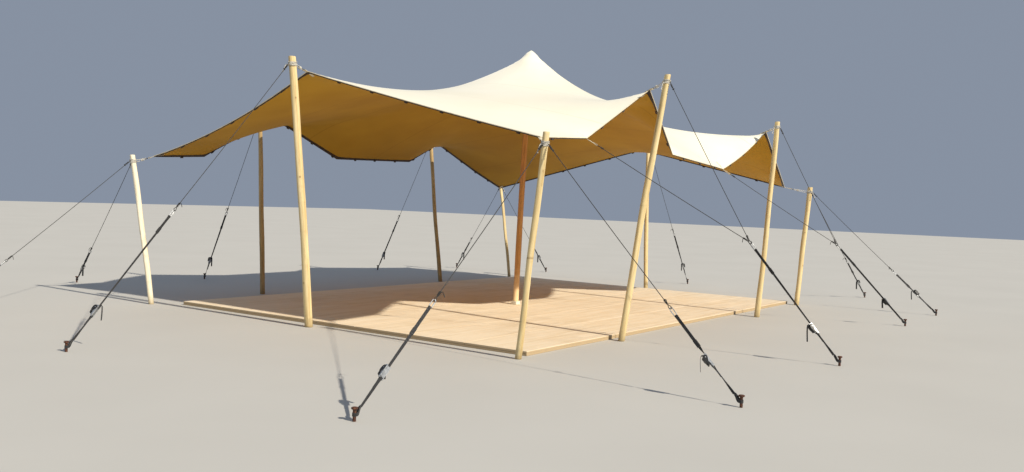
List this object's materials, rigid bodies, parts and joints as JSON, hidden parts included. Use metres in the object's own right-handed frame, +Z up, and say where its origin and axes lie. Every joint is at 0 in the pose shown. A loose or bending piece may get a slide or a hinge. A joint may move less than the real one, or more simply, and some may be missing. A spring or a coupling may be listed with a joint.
{
  "type": "stretch tent",
  "caption": "Stretch tent: a fabric canopy over a low timber deck, raised on round wooden poles and held out by ropes and ratchet straps to ground stakes.",
  "frame": {"origin": "on the ground under the middle of the timber deck", "axes": "+X along the deck's long side, +Z up; the near side is -Y and the left end is -X"},
  "size_m": [14.278, 12.127, 3.912],
  "materials": {
    "canopy_fabric": "matt cream stretch fabric, tan where the light comes through from above",
    "hem_webbing": "dark brown woven webbing",
    "deck_timber": "weathered bare softwood boards",
    "foot_block": "pale bare wood",
    "centre_pole_wood": "peeled round pole, orange brown",
    "pole_wood": "peeled round pole, pale straw, knots and cracks",
    "rope": "braided rope, light grey round the poles and dark grey in the guys",
    "strap": "black webbing with a zinc-plated steel ratchet and hook",
    "stake_steel": "rusty steel"
  },
  "bodies": {
    "root": {"canopy": "canopy_fabric", "hem_webbing": "hem_webbing", "timber_deck": "deck_timber", "centre_pole_foot": "foot_block", "pole_centre": "centre_pole_wood", "pole_left_mid": "pole_wood", "pole_near_left": "pole_wood", "pole_near_second": "pole_wood", "pole_near_third": "pole_wood", "pole_near_right": "pole_wood", "pole_right_mid": "pole_wood", "pole_far_right": "pole_wood", "pole_far_third": "pole_wood", "pole_far_second": "pole_wood", "pole_far_left": "pole_wood", "ropes_left_mid": "rope", "ropes_near_left": "rope", "ropes_near_second": "rope", "ropes_near_third": "rope", "ropes_near_right": "rope", "ropes_right_mid": "rope", "ropes_far_right": "rope", "ropes_far_third": "rope", "ropes_far_second": "rope", "ropes_far_left": "rope", "strap_left_mid": "strap", "strap_near_left_a": "strap", "strap_near_left_b": "strap", "strap_near_second": "strap", "strap_near_third": "strap", "strap_near_right_a": "strap", "strap_near_right_b": "strap", "strap_right_mid": "strap", "strap_far_right_a": "strap", "strap_far_right_b": "strap", "strap_far_third": "strap", "strap_far_second": "strap", "strap_far_left_a": "strap", "strap_far_left_b": "strap", "stake_left_mid": "stake_steel", "stake_near_left_a": "stake_steel", "stake_near_left_b": "stake_steel", "stake_near_second": "stake_steel", "stake_near_third": "stake_steel", "stake_near_right_a": "stake_steel", "stake_near_right_b": "stake_steel", "stake_right_mid": "stake_steel", "stake_far_right_a": "stake_steel", "stake_far_right_b": "stake_steel", "stake_far_third": "stake_steel", "stake_far_second": "stake_steel", "stake_far_left_a": "stake_steel", "stake_far_left_b": "stake_steel"}
  },
  "joints": []
}
